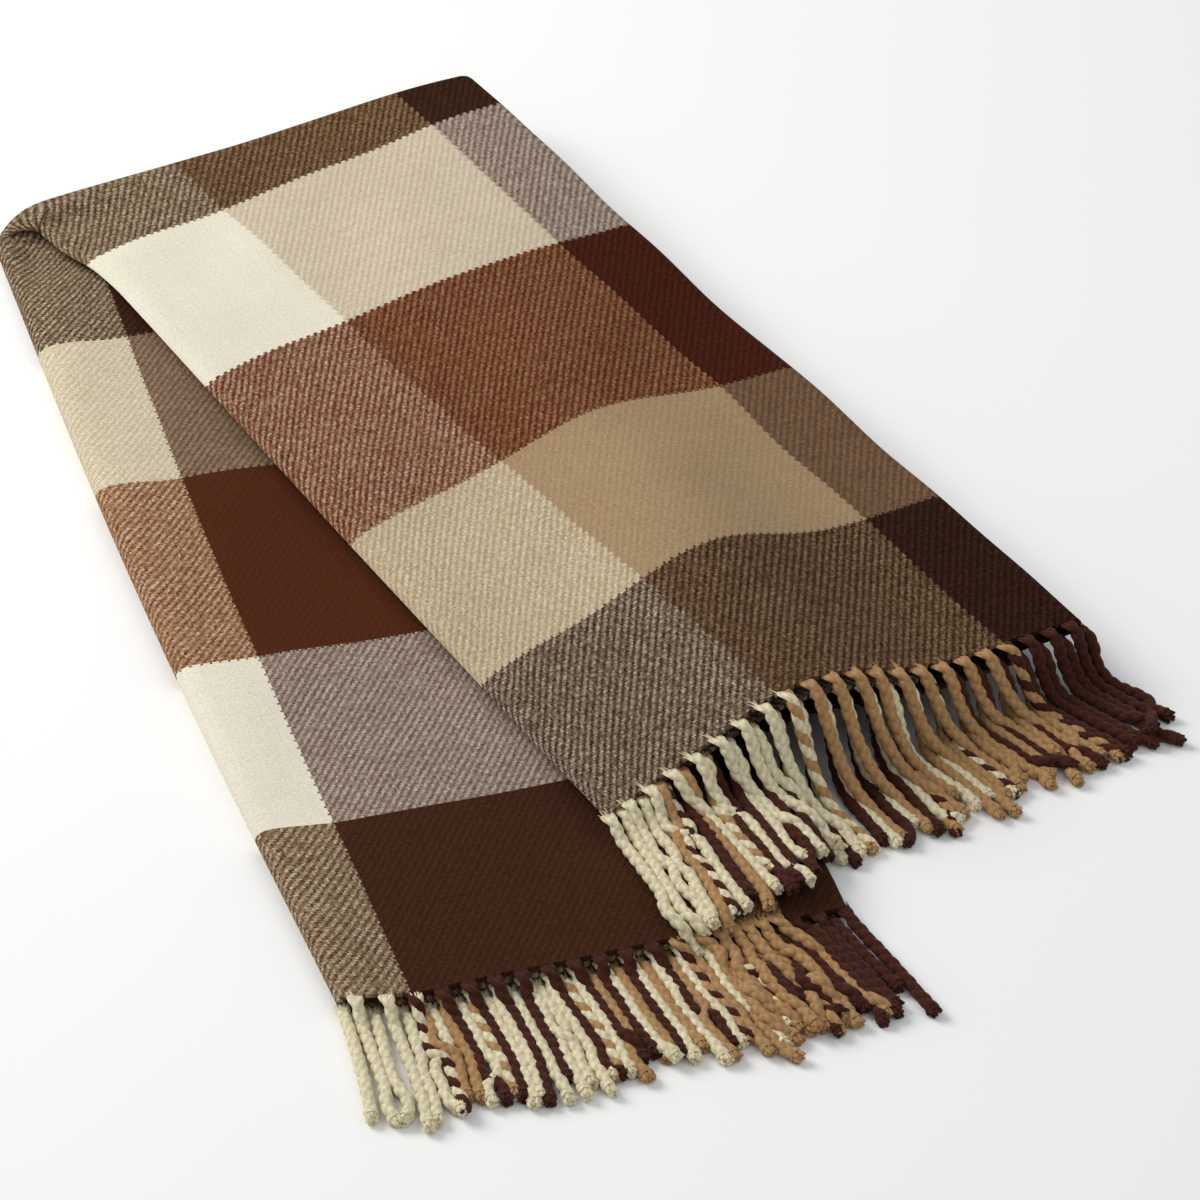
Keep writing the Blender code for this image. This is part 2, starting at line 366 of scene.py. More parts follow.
def backGrid():
    # the half turn at the back, from the upper half round to the lower one
    u = acrossPlaces()
    s0, _ = section(u, np.zeros_like(u))
    w0 = s0 * fanSin / fanCos
    turn = np.linspace(0.0, 1.0, drape["backSteps"] + 1)[:, None]
    angle, half = math.pi * turn, grown("turn", turn)
    uHere = followFold(u, w0) + 0 * turn
    s, d = section(uHere, w0 + 0 * turn)
    rounding = cornerRound(s0) * np.cos(angle)
    corner = folds["upperCorner"] + (folds["lowerCorner"] - folds["upperCorner"]) * half
    flare = cornerFlare(s, w0) * (1 - half)
    flare = flare + drape["cornerBulb"] * np.sin(angle) * (1 - grown("bulbAcross", s))
    x = corner + s * fanCos + (w0 + rounding) * fanSin - flare
    y0 = folds["foldLine"] + (s - s0) * fanSin * np.cos(angle) - cornerRound(s0) * fanCos
    rise = drapeRise(x, y0, s, d) * (1 - grown("backRise", turn))
    bulge = folds["backBulge"] * s / stripWidth(0.0) * np.sin(angle) * d / topLayer
    y = y0 + (d + bulge) * np.sin(angle)
    z = middle + d * np.cos(angle) + rise
    v = lowerEnd + w0 + rounding + folds["backArc"] * (1 - turn)
    return np.stack([x, y, z], axis=-1), np.stack([uHere, v], axis=-1)


def linkPiece(name, mesh):
    piece = bpy.data.objects.new(name, mesh)
    bpy.context.collection.objects.link(piece)
    bpy.ops.object.select_all(action="DESELECT")
    piece.select_set(True)
    bpy.context.view_layer.objects.active = piece
    return piece


def addClothPiece(name, points, flatPlaces, material):
    rows, columns = points.shape[:2]
    index = np.arange(rows * columns).reshape(rows, columns)
    a, b, c, d = index[:-1, :-1], index[:-1, 1:], index[1:, 1:], index[1:, :-1]
    faces = np.stack([a, d, c, b], axis=-1).reshape(-1, 4)
    mesh = bpy.data.meshes.new(name)
    mesh.from_pydata(points.reshape(-1, 3).tolist(), [], faces.tolist())
    layer = mesh.uv_layers.new(name="weave")
    corners = flatPlaces.reshape(-1, 2)[faces.ravel()]
    layer.data.foreach_set("uv", corners.astype(np.float32).ravel())
    mesh.materials.append(material)
    piece = linkPiece(name, mesh)
    thick = piece.modifiers.new("thickness", "SOLIDIFY")
    thick.thickness, thick.offset = folds["thickness"], 0.0
    bpy.ops.object.modifier_apply(modifier="thickness")
    bpy.ops.object.shade_smooth_by_angle(angle=math.radians(60))
    return piece


def addNode(tree, kind, inputs=None, **settings):
    made = tree.nodes.new(kind)
    for key, value in settings.items():
        setattr(made, key, value)
    for key, value in (inputs or {}).items():
        if isinstance(value, bpy.types.NodeSocket):
            tree.links.new(value, made.inputs[key])
        else:
            made.inputs[key].default_value = value
    return made


def calc(tree, operation, first, second=0.0, third=0.0):
    inputs = {0: first, 1: second, 2: third}
    return addNode(tree, "ShaderNodeMath", inputs, operation=operation).outputs[0]


def mixColours(tree, share, first, second, kind="MIX"):
    made = addNode(tree, "ShaderNodeMix", data_type="RGBA", blend_type=kind)
    for key, value in ((0, share), (6, first), (7, second)):
        if isinstance(value, bpy.types.NodeSocket):
            tree.links.new(value, made.inputs[key])
        else:
            made.inputs[key].default_value = value
    return made.outputs[2]


def addNoise(tree, place, scale, detail=2.0):
    inputs = {"Vector": place, "Scale": scale, "Detail": detail}
    return addNode(tree, "ShaderNodeTexNoise", inputs)


def scaledColour(tree, colour, factor):
    inputs = {0: colour, "Scale": factor}
    return addNode(tree, "ShaderNodeVectorMath", inputs, operation="SCALE").outputs[0]


def varied(tree, value, amount):
    # a factor that swings by amount round 1
    return calc(tree, "MULTIPLY_ADD", value, amount, 1 - amount / 2)


def swayed(tree, share, value, amount):
    return calc(tree, "MULTIPLY_ADD", calc(tree, "SUBTRACT", value, 0.5), amount, share)


def addRelief(tree, shader, height, strength, depth):
    inputs = {"Height": height, "Strength": strength, "Distance": depth}
    bump = addNode(tree, "ShaderNodeBump", inputs)
    tree.links.new(bump.outputs[0], shader.inputs["Normal"])


def bandRamp(tree, place, bands, total):
    # bands are (width, colour) in order; the ramp holds each colour to its edge
    ramp = addNode(tree, "ShaderNodeValToRGB", {"Fac": place})
    ramp.color_ramp.interpolation = "CONSTANT"
    stops = ramp.color_ramp.elements
    edge = 0.0
    for number, (width, colour) in enumerate(bands):
        stop = stops[number] if number < 2 else stops.new(edge / total)
        stop.position = edge / total
        stop.color = (*colour, 1.0)
        edge += width
    return ramp.outputs["Color"]


weave = {
    "warpPitch": 0.00133,
    "weftPitch": 0.00185,
    "contrast": 0.125,  # how far the twill lines stand out in a mixed square
    "depth": 3.9,  # how strongly the darker yarn shows through
    "cream": (0.751, 0.704, 0.573),
    "tan": (0.435, 0.317, 0.204),
    "brown": (0.068, 0.031, 0.023),
    "white": (0.751, 0.704, 0.573),
    "beige": (0.290, 0.186, 0.087),
    "rust": (0.036, 0.0018, 0.0001),
    "firstDark": (0.034, 0.0095, 0.0018),  # the yarns at the lower end are a little lighter
    "firstRust": (0.082, 0.0120, 0.0014),
    "firstBeige": (0.43, 0.33, 0.20),
    "dark": (0.017, 0.0044, 0.0006),
    "endShadedDark": (0.0075, 0.0016, 0.0003),  # the last band is dark yarn painted darker still, as painted shade on the sloping front of the upper half
    "wobble": 0.0010,  # how far the yarns wander
    "wobbleScale": 170.0,
    "tooth": 0.0005,  # the floats carry a colour past its edge
    "patchScale": 24.0,  # the brushing is stronger in some places
    "patchAmount": 0.8,
    "napScale": 620.0,
    "napBlur": 0.55,
    "streakScale": (30.0, 420.0, 1.0),
    "streakBlur": 0.2,
    "speckle": 0.27,  # how unevenly single floats are brushed
    "yarnShade": 0.05,
    "fluffScale": 1500.0,
    "fluffShade": 0.30,
    "cloudScale": 9.0,
    "cloudShade": 0.16,
    "napShade": 0.5,
    "ribRelief": 0.9,
    "fluffRelief": 0.8,
    "napRelief": 0.9,
    "reliefStrength": 0.55,
    "reliefDepth": 0.0007,
    "roughness": 0.92,
    "specular": 0.02,
    "sheen": 0.012,
    "sheenRoughness": 0.55,
    "sheenTint": (1.0, 0.96, 0.9, 1.0),
}


def wanderingYarns(tree, flat):
    drift = addNoise(tree, flat, weave["wobbleScale"], 4.0)
    centred = addNode(tree, "ShaderNodeVectorMath", {0: drift.outputs["Color"], 1: (0.5,) * 3},
                      operation="SUBTRACT").outputs[0]
    return addNode(tree, "ShaderNodeVectorMath",
                   {0: centred, 1: (weave["wobble"],) * 3, 2: flat},
                   operation="MULTIPLY_ADD").outputs[0]


def layFloats(tree, place):
    # two over, two under: the lines of the twill run down the cloth and across it
    split = addNode(tree, "ShaderNodeSeparateXYZ", {0: place})
    across = calc(tree, "DIVIDE", split.outputs[0], weave["warpPitch"])
    along = calc(tree, "DIVIDE", split.outputs[1], weave["weftPitch"])
    warpNumber, weftNumber = calc(tree, "FLOOR", across), calc(tree, "FLOOR", along)
    both = calc(tree, "ADD", warpNumber, weftNumber)
    floatStep = calc(tree, "WRAP", both, 4.0, 0.0)
    return {
        "across": across, "along": along, "warpNumber": warpNumber, "weftNumber": weftNumber,
        "warpUp": calc(tree, "LESS_THAN", floatStep, 1.5), "floatStep": floatStep,
    }


def yarnColour(tree, number, pitch, past, bands, total):
    # the colour of a whole yarn, each one dyed and spun a little differently
    centre = calc(tree, "ADD", number, 0.5)
    place = calc(tree, "MULTIPLY_ADD", centre, pitch, past)
    colour = bandRamp(tree, calc(tree, "DIVIDE", place, total), bands, total)
    shade = addNode(tree, "ShaderNodeTexWhiteNoise", {"W": number}, noise_dimensions="1D")
    colour = scaledColour(tree, colour, varied(tree, shade.outputs["Value"], weave["yarnShade"]))
    inputs = {"Color": colour, "Gamma": 1 / weave["depth"]}
    return addNode(tree, "ShaderNodeGamma", inputs).outputs[0]


def dyeYarns(tree, floats):
    past = calc(tree, "SUBTRACT", floats["floatStep"], 1.5)
    past = calc(tree, "MULTIPLY", past, weave["tooth"])
    names = ("brown", "cream", "tan", "brown", "cream", "tan")
    stripes = [(pattern["firstTan"], weave["tan"])]
    stripes += [(pattern["square"], weave[name]) for name in names]
    first = ("firstDark", "white", "firstRust", "firstBeige")
    # the upper end's last band carries painted shade
    second = ("white", "rust", "beige", "endShadedDark")
    widths = [pattern[name] for name in ("endBand", "whiteBand", "rustBand", "beigeBand")]
    centreBand = lowerEnd - patternLength + folds["backArc"] + upperEnd - patternLength
    bands = [(width, weave[name]) for width, name in zip(widths, first)]
    bands += [(centreBand, weave["dark"])]
    bands += [(width, weave[name]) for width, name in zip(widths[1:] + widths[:1], second)]
    warp = (floats["warpNumber"], weave["warpPitch"], past, stripes, clothWidth)
    weft = (floats["weftNumber"], weave["weftPitch"], past, bands, clothLength)
    return yarnColour(tree, *warp), yarnColour(tree, *weft)


def warpShare(tree, flat, floats, nap):
    # brushing blurs the yarns into each other, more in some places than others
    patch = addNoise(tree, flat, weave["patchScale"], 3.0)
    inputs = {"Vector": flat, "Scale": weave["streakScale"]}
    stretch = addNode(tree, "ShaderNodeMapping", inputs).outputs[0]
    streak = addNoise(tree, stretch, 1.0)
    swing = calc(tree, "SUBTRACT", floats["warpUp"], 0.5)
    swing = calc(tree, "MULTIPLY", swing, 2 * weave["contrast"])
    softer = varied(tree, patch.outputs["Fac"], weave["patchAmount"])
    share = calc(tree, "MULTIPLY_ADD", swing, softer, 0.5)
    share = swayed(tree, share, nap.outputs["Fac"], weave["napBlur"])
    share = swayed(tree, share, streak.outputs["Fac"], weave["streakBlur"])
    cell = {0: floats["warpNumber"], 1: floats["weftNumber"]}
    cell = addNode(tree, "ShaderNodeCombineXYZ", cell).outputs[0]
    single = addNode(tree, "ShaderNodeTexWhiteNoise", {"Vector": cell}, noise_dimensions="2D")
    share = swayed(tree, share, single.outputs["Value"], weave["speckle"])
    return calc(tree, "MINIMUM", calc(tree, "MAXIMUM", share, 0.0), 1.0)


def makeClothMaterial():
    material = bpy.data.materials.new("brushedTwill")
    material.use_nodes = True
    tree = material.node_tree
    shader = tree.nodes["Principled BSDF"]
    flat = addNode(tree, "ShaderNodeUVMap", uv_map="weave").outputs[0]
    moved = wanderingYarns(tree, flat)
    floats = layFloats(tree, moved)
    nap = addNoise(tree, moved, weave["napScale"])
    warpColour, weftColour = dyeYarns(tree, floats)
    mixed = mixColours(tree, warpShare(tree, flat, floats, nap), weftColour, warpColour)
    inputs = {"Color": mixed, "Gamma": weave["depth"]}
    colour = addNode(tree, "ShaderNodeGamma", inputs).outputs[0]

    # loose fibre ends catch the light
    fluff = addNoise(tree, flat, weave["fluffScale"])
    cloud = addNoise(tree, flat, weave["cloudScale"], 3.0)
    lint = varied(tree, fluff.outputs["Fac"], weave["fluffShade"])
    tone = varied(tree, cloud.outputs["Fac"], weave["cloudShade"])
    tone = calc(tree, "MULTIPLY", lint, tone)
    tone = calc(tree, "MULTIPLY", tone, varied(tree, nap.outputs["Fac"], weave["napShade"]))
    tree.links.new(scaledColour(tree, colour, tone), shader.inputs["Base Color"])

    # relief of the floats and the nap
    warpRound = calc(tree, "PINGPONG", floats["across"], 0.5)
    weftRound = calc(tree, "PINGPONG", floats["along"], 0.5)
    higher = calc(tree, "SUBTRACT", warpRound, weftRound)
    ribs = calc(tree, "MULTIPLY_ADD", higher, floats["warpUp"], weftRound)
    ribs = calc(tree, "MULTIPLY", ribs, weave["ribRelief"])
    pile = calc(tree, "MULTIPLY_ADD", fluff.outputs["Fac"], weave["fluffRelief"], ribs)
    height = calc(tree, "MULTIPLY_ADD", nap.outputs["Fac"], weave["napRelief"], pile)
    addRelief(tree, shader, height, weave["reliefStrength"], weave["reliefDepth"])
    shader.inputs["Roughness"].default_value = weave["roughness"]
    shader.inputs["Specular IOR Level"].default_value = weave["specular"]
    shader.inputs["Sheen Weight"].default_value = weave["sheen"]
    shader.inputs["Sheen Roughness"].default_value = weave["sheenRoughness"]
    shader.inputs["Sheen Tint"].default_value = weave["sheenTint"]
    return material


cordFinish = {
    "cream": (0.81, 0.72, 0.485),
    "tan": (0.46, 0.265, 0.115),
    "brown": (0.066, 0.018, 0.0105),
    "strandSlant": 150.0,  # turns of a strand in a metre, and strands round a ply
    "strandCount": 3.0,
    # painted shade: how much darker the grooves between strands are painted
    "strandGrooveShade": 0.5,
    "hairScale": (9.0, 420.0, 1.0),
    "hairShade": (0.5, 0.48),
    "patchScale": 70.0,
    "patchShade": 0.3,
    "hairRelief": 0.8,
    "reliefStrength": 0.6,
    "reliefDepth": 0.0006,
    "roughness": 0.85,
    "specular": 0.06,
    "sheen": 0.06,
    "sheenRoughness": 0.5,
}


def makeCordMaterial(name):
    material = bpy.data.materials.new(name + "Cord")
    material.use_nodes = True
    tree = material.node_tree
    shader = tree.nodes["Principled BSDF"]
    spin = addNode(tree, "ShaderNodeUVMap", uv_map="spin").outputs[0]
    split = addNode(tree, "ShaderNodeSeparateXYZ", {0: spin})
    # the strands of a ply lie at a slant round it
    turns = calc(tree, "MULTIPLY", split.outputs[0], cordFinish["strandCount"])
    turns = calc(tree, "MULTIPLY_ADD", split.outputs[1], cordFinish["strandSlant"], turns)
    strand = calc(tree, "PINGPONG", turns, 0.5)
    inputs = {"Vector": spin, "Scale": cordFinish["hairScale"]}
    hair = addNoise(tree, addNode(tree, "ShaderNodeMapping", inputs).outputs[0], 1.0, 4.0)
    place = addNode(tree, "ShaderNodeTexCoord").outputs["Object"]
    patch = addNoise(tree, place, cordFinish["patchScale"])
    shade = calc(tree, "MULTIPLY_ADD", hair.outputs["Fac"], *cordFinish["hairShade"])
    # each strand is painted lighter along its crown and darker in the groove beside it, as painted shade
    shade = calc(tree, "MULTIPLY_ADD", strand, cordFinish["strandGrooveShade"], shade)
    patchy = varied(tree, patch.outputs["Fac"], cordFinish["patchShade"])
    shade = calc(tree, "MULTIPLY", shade, patchy)
    base = addNode(tree, "ShaderNodeRGB")
    base.outputs[0].default_value = (*cordFinish[name], 1.0)
    colour = scaledColour(tree, base.outputs[0], shade)
    tree.links.new(colour, shader.inputs["Base Color"])
    height = calc(tree, "MULTIPLY_ADD", hair.outputs["Fac"], cordFinish["hairRelief"], strand)
    addRelief(tree, shader, height, cordFinish["reliefStrength"], cordFinish["reliefDepth"])
    shader.inputs["Roughness"].default_value = cordFinish["roughness"]
    shader.inputs["Specular IOR Level"].default_value = cordFinish["specular"]
    shader.inputs["Sheen Weight"].default_value = cordFinish["sheen"]
    shader.inputs["Sheen Roughness"].default_value = cordFinish["sheenRoughness"]
    return material


# the fringe: two-ply tassels along both ends of the cloth
fringe = {
    "pitch": square / 10.5,
    "upperLength": (0.128, 0.108),
    "rightReach": 0.300,  # the tassels at the right end lie close together
    "lowerLength": (0.106, 0.100),
    "lengthSpread": 0.006,
    "radius": 0.0040,
    "links": 16,
    # how each layer's tassels turn: at the left in degrees, the change to the right, its curve
    "upperSwing": ((-12.0, 14.0, 1.0), (-8.0, 28.0, 1.2), (-8.0, 29.0, 0.4)),
    "lowerSwing": ((-2.0, 14.0, 1.0), (0.0, 12.0, 1.0), (2.0, 14.0, 1.0)),
    "loose": 3.0,
    "curl": 7.0,
    "neatRight": 0.7,  # the right end of the upper fringe is combed straighter
    "settleSteps": 150,
    "passes": 5,
    "fall": 0.00012,
    "drag": 0.86,
    "stiffness": 0.12,
    "rub": (0.75, 0.15),  # share of a slip lost on what is under it, and in the air
    "pairEvery": 6,
    "pairMargin": 0.006,
    "beside": 0.97,  # tassels of one layer lie side by side
    "crush": 0.66,  # tassels of different layers sink into each other
}
ply = {
    "radius": 0.0034,
    "offset": 0.0008,
    "twist": 0.0175,  # length of one turn of the two plies
    "twistStart": 0.005,
    "rings": 58,
    "sides": 6,
    "strandSides": 4,
    "gather": (0.001, 0.011),  # where the flat root becomes a round cord
    "rootWidth": 0.0024,
    "rootHeight": 0.0011,
    "flare": (0.016, 0.004),  # the end loosens, from one distance to the tip to the other
    "flareOffset": 0.25,
    "flareRadius": 0.22,
    "uneven": 0.025,
    "cut": 0.007,
}
brush = {
    "strands": 7,
    "inset": 0.003,
    "spread": 0.0017,
    "length": (0.0055, 0.0078),
    "fan": 0.16,
    "widths": (1.4, 1.7, 1.7, 1.2),  # in millimetres, from root to tip
    "floor": 0.0008,
}
root = {
    "strands": 7,
    "pitch": 0.0012,
    "scatter": 0.0008,
    "reach": (0.001, 0.007),  # how far back into the cloth its strands start
    "ring": 5,  # the ring of the cord where they end
    "spread": (1.3, 0.3),
    "height": (0.0011, 0.0012),
    "arch": 0.0008,
    "widths": (0.15, 0.45, 0.7, 0.9, 0.8),
    "flatness": 0.7,
}
stripes = ("tan", "brown", "cream", "tan", "brown", "cream", "tan")
layers = ("bottom", "middle", "top")


def stripeOf(u):
    return stripes[int(max(0, math.ceil((u - pattern["firstTan"]) / pattern["square"])))]


def clothUnder(x, y):
    # top of the lower half, or the floor beyond it
    s, w = lowerPlace(x, y)
    edge = stripWidth(w) - lowerSqueeze(stripWidth(w), w)
    inside = ease(-0.004, 0.004, s) * (1 - ease(-0.006, 0.010, s - edge))
    inside = inside * (1 - ease(lowerEnd - 0.004, lowerEnd + 0.004, w))
    top = middle - 0.5 * folds["pitch"] + folds["thickness"] / 2 + lowerPuff(s, w)
    return top * inside


def plantTassel(side, number):
    upper = side == "upper"
    place, end = (onUpper, upperEnd) if upper else (onLower, lowerEnd)
    u = (number + 0.5) * fringe["pitch"]
    s, _ = section(np.array(u), np.array(end))
    fromInside = 0 if u < leftFoldAt(end) else 2 if u < folds["rightFold"] else 1
    level = fromInside if upper else 2 - fromInside
    colour = stripeOf(u)
    after, before = stripeOf(u + fringe["pitch"] / 2), stripeOf(u - fringe["pitch"] / 2)
    base = place(np.array(u), np.array(end - 0.001))
    back = place(np.array(u), np.array(end - 0.012))
    share = float(s) / float(stripWidth(end))
    first, change, curve = fringe[side + "Swing"][level]
    neat = 1 - fringe["neatRight"] * share**2 if upper else 1.0
    swing = first + change * share**curve
    swing += dice.normal(0, fringe["loose"]) * neat
    curl = dice.normal(-3 if share < 0.45 else 2, fringe["curl"]) * neat
    longest, shortest = fringe[side + "Length"]
    length = longest + (shortest - longest) * share
    length += dice.normal(0, fringe["lengthSpread"])
    lean = fanSin if upper else -fanSin
    return {
        "side": side, "level": level, "colour": colour,
        "pair": (before, after) if before != after else (colour, colour),
        "base": base, "slope": (base[2] - back[2]) / 0.011,
        "heading": math.asin(lean) + math.radians(swing),
        "curl": math.radians(curl), "length": length,
        "phase": dice.uniform(0, 2 * math.pi), "seed": int(dice.integers(1e9)),
    }


def layOut(tassels, step):
    # each chain starts out straight from its root, with a little curl
    count = fringe["links"]
    chains = np.zeros((len(tassels), count, 3))
    for number, t in enumerate(tassels):
        here = np.array(t["base"], float)
        for link in range(count):
            chains[number, link] = here
            heading = t["heading"] + t["curl"] * (link / (count - 1)) ** 1.5
            dip = t["slope"] * max(0.0, 1 - link / 3)
            move = np.array([math.sin(heading), -math.cos(heading), dip])
            here = here + move / np.linalg.norm(move) * step[number]
    return chains


def keepLengths(chains, step):
    for parity in (0, 1):
        a, b = chains[:, parity:-1:2], chains[:, parity + 1 :: 2]
        a = a[:, : b.shape[1]]
        span = b - a
        long = np.linalg.norm(span, axis=2, keepdims=True)
        fix = span * (1 - step[:, None, None] / np.maximum(long, 1e-9)) / 2
        a += fix
        b -= fix


def keepStiff(chains, straight):
    # links two apart push back, so a cord bends but doesn't crease
    span = chains[:, 2:] - chains[:, :-2]
    long = np.linalg.norm(span, axis=2)
    short = np.maximum(straight - long, 0.0) / np.maximum(long, 1e-9)
    fix = span * short[..., None] * fringe["stiffness"]
    chains[:, 2:] += fix
    chains[:, :-2] -= fix


def findPairs(chains, layer):
    # links of two tassels that may touch, and how far apart they stay
    flat = chains.reshape(-1, 3).astype(np.float32)
    owner = np.repeat(np.arange(len(chains)), chains.shape[1])
    reach = 2 * fringe["radius"]
    gap = ((flat[:, None] - flat[None]) ** 2).sum(-1)
    near = (gap < (reach + fringe["pairMargin"]) ** 2) & (owner[:, None] < owner[None])
    first, second = np.nonzero(near)
    apart = np.where(layer[first] == layer[second], fringe["beside"], fringe["crush"]) * reach
    return first, second, apart


def pushApart(chains, pairs):
    first, second, apart = pairs
    count = chains.shape[1]
    flat = chains.reshape(-1, 3)
    span = flat[second] - flat[first]
    long = np.linalg.norm(span, axis=1)
    push = np.maximum(apart - long, 0.0) / np.maximum(long, 1e-6) * 0.5
    push = push * ((first % count > 1) | (second % count > 1))
    move = span * push[:, None]
    np.add.at(flat, first, -0.5 * move)
    np.add.at(flat, second, 0.5 * move)


def restOnGround(chains, upper, pinned):
    ground = np.where(upper[:, None], clothUnder(chains[..., 0], chains[..., 1]), 0.0)
    low = ground + fringe["radius"]
    touching = chains[..., 2] < low
    chains[..., 2] = np.maximum(chains[..., 2], low)
    chains[..., 0] = np.minimum(chains[..., 0], fringe["rightReach"])
    chains[:, :2] = pinned
    return touching


def settleTassels(tassels):
    # each tassel is a chain of links that falls, keeps its length and lies on what is under it
    step = np.array([t["length"] for t in tassels]) / (fringe["links"] - 1)
    chains = layOut(tassels, step)
    upper = np.array([t["side"] == "upper" for t in tassels])
    layer = np.repeat([t["level"] for t in tassels], fringe["links"])
    pinned = chains[:, :2].copy()
    straight = np.linalg.norm(chains[:, 2:] - chains[:, :-2], axis=2)
    before = chains.copy()
    for turn in range(fringe["settleSteps"]):
        speed = (chains - before) * fringe["drag"]
        before = chains.copy()
        speed[..., 2] -= fringe["fall"]
        chains = chains + speed
        if turn % fringe["pairEvery"] == 0:
            pairs = findPairs(chains, layer)
        for _ in range(fringe["passes"]):
            keepLengths(chains, step)
            keepStiff(chains, straight)
            pushApart(chains, pairs)
            touching = restOnGround(chains, upper, pinned)
        slip = (chains - before)[..., :2]
        before[..., :2] += slip * np.where(touching, *fringe["rub"])[..., None]
    return chains


def smoothLine(points, count):
    # an even walk along a curve through the links
    padded = np.vstack([2 * points[0] - points[1], points, 2 * points[-1] - points[-2]])
    pieces = []
    for i in range(1, len(padded) - 2):
        p0, p1, p2, p3 = padded[i - 1 : i + 3]
        t = np.linspace(0, 1, 6, endpoint=False)[:, None]
        pieces.append(0.5 * (2 * p1 + (p2 - p0) * t + (2 * p0 - 5 * p1 + 4 * p2 - p3) * t**2
                             + (3 * p1 - p0 - 3 * p2 + p3) * t**3))
    line = np.vstack(pieces + [points[-1:]])
    walked = np.concatenate([[0.0], np.cumsum(np.linalg.norm(np.diff(line, axis=0), axis=1))])
    even = np.linspace(0, walked[-1], count)
    return np.stack([np.interp(even, walked, line[:, k]) for k in range(3)], axis=1), even


def tubeFaces(start, rings, sides):
    faces = []
    for ring in range(rings - 1):
        for side in range(sides):
            a = start + ring * sides + side
            b = start + ring * sides + (side + 1) % sides
            faces.append((a, b, b + sides, a + sides))
    faces.append(tuple(start + side for side in reversed(range(sides))))
    faces.append(tuple(start + (rings - 1) * sides + side for side in range(sides)))
    return faces


def addTube(store, centres, sideways, upwards, widths, heights, material, startTurn=0.0):
    # a closed tube round a line, with its own width and height at each ring
    sides = ply["sides"] if len(centres) > 8 else ply["strandSides"]
    angles = np.linspace(0, 2 * math.pi, sides, endpoint=False) + startTurn
    ring = (np.cos(angles)[None, :, None] * sideways[:, None] * widths[:, None, None]
            + np.sin(angles)[None, :, None] * upwards[:, None] * heights[:, None, None])
    points = centres[:, None] + ring
    points[..., 2] = np.maximum(points[..., 2], 0.0003)  # flattened where it lies on the floor
    start = len(store["points"])
    store["points"].extend(points.reshape(-1, 3).tolist())
    walked = np.concatenate([[0.0], np.cumsum(np.linalg.norm(np.diff(centres, axis=0), axis=1))])
    store["around"].extend(np.tile(np.arange(sides) / sides, len(centres)).tolist())
    store["walked"].extend(np.repeat(walked + store["offset"], sides).tolist())
    made = tubeFaces(start, len(centres), sides)
    store["faces"].extend(made)
    store["materials"].extend([material] * len(made))
    store["offset"] += 0.137  # so that no two tubes have the same hairs


def cordCourse(chain):
    line, walked = smoothLine(chain, ply["rings"])
    ahead = np.gradient(line, axis=0)
    ahead /= np.linalg.norm(ahead, axis=1, keepdims=True)
    sideways = np.cross(ahead, (0.0, 0.0, 1.0))
    sideways /= np.linalg.norm(sideways, axis=1, keepdims=True)
    return line, walked, ahead, sideways, np.cross(sideways, ahead)


def addPly(store, course, number, slot, own):
    line, walked, ahead, sideways, upwards = course
    total = walked[-1]
    gather = ease(*ply["gather"], walked)
    flare = ease(total - ply["flare"][0], total - ply["flare"][1], walked)
    turn = 2 * math.pi * np.maximum(walked - ply["twistStart"], 0.0) / ply["twist"]
    angle = turn + math.pi * number
    offset = ply["offset"] * (1 + ply["flareOffset"] * flare)
    wide = (1 - gather) * ply["rootWidth"] + gather * offset
    centres = line + sideways * (np.cos(angle) * wide)[:, None]
    centres = centres + upwards * (np.sin(angle) * (gather * offset))[:, None]
    radius = ply["radius"] * (1 + ply["flareRadius"] * flare)
    radius = radius * (1 + ply["uneven"] * own.normal(size=len(line)))
    widths = (1 - gather) * ply["rootWidth"] + gather * radius
    heights = (1 - gather) * ply["rootHeight"] + gather * radius
    keep = walked <= total - ply["cut"]
    addTube(store, centres[keep], sideways[keep], upwards[keep], widths[keep], heights[keep],
            slot, 0.3 * number)
    return centres[keep][-1], ahead[keep][-1], sideways[keep][-1], upwards[keep][-1]


def addBrush(store, end, slot, own):
    # the cut end of the ply opens into a brush
    tip, out, side, up = end
    steps = np.linspace(0, 1, 4)[:, None]
    thin = np.array(brush["widths"]) * 0.001
    for strand in range(brush["strands"]):
        around = strand * 2 * math.pi / brush["strands"] + own.uniform(-0.4, 0.4)
        spread = side * math.cos(around) + up * math.sin(around)
        start = tip + spread * brush["spread"] - out * brush["inset"]
        reach = own.uniform(*brush["length"])
        fan = own.uniform(0.0, brush["fan"])
        path = start + (out + spread * fan * steps) * reach * steps
        path[:, 2] = np.maximum(path[:, 2], brush["floor"])
        addTube(store, path, np.repeat(side[None], 4, 0), np.repeat(up[None], 4, 0), thin, thin,
                slot)


def addRoot(store, course, pair, own):
    # warp ends gathered out of the cloth
    line, _, ahead, sideways, upwards = course
    steps = np.linspace(0, 1, 5)[:, None]
    thin = np.array(root["widths"]) * 0.001
    ring = root["ring"]
    for strand in range(root["strands"]):
        shift = (strand - 3) * root["pitch"] + own.uniform(-root["scatter"], root["scatter"])
        begin = line[0] - ahead[0] * own.uniform(*root["reach"])
        begin = begin + sideways[0] * shift * root["spread"][0] + upwards[0] * root["height"][0]
        close = line[ring] + sideways[ring] * shift * root["spread"][1]
        close = close + upwards[ring] * root["height"][1]
        path = begin + (close - begin) * steps
        path += upwards[0] * root["arch"] * np.sin(math.pi * steps)
        addTube(store, path, np.repeat(sideways[:1], 5, 0), np.repeat(upwards[:1], 5, 0), thin,
                thin * root["flatness"], pair[strand % 2])


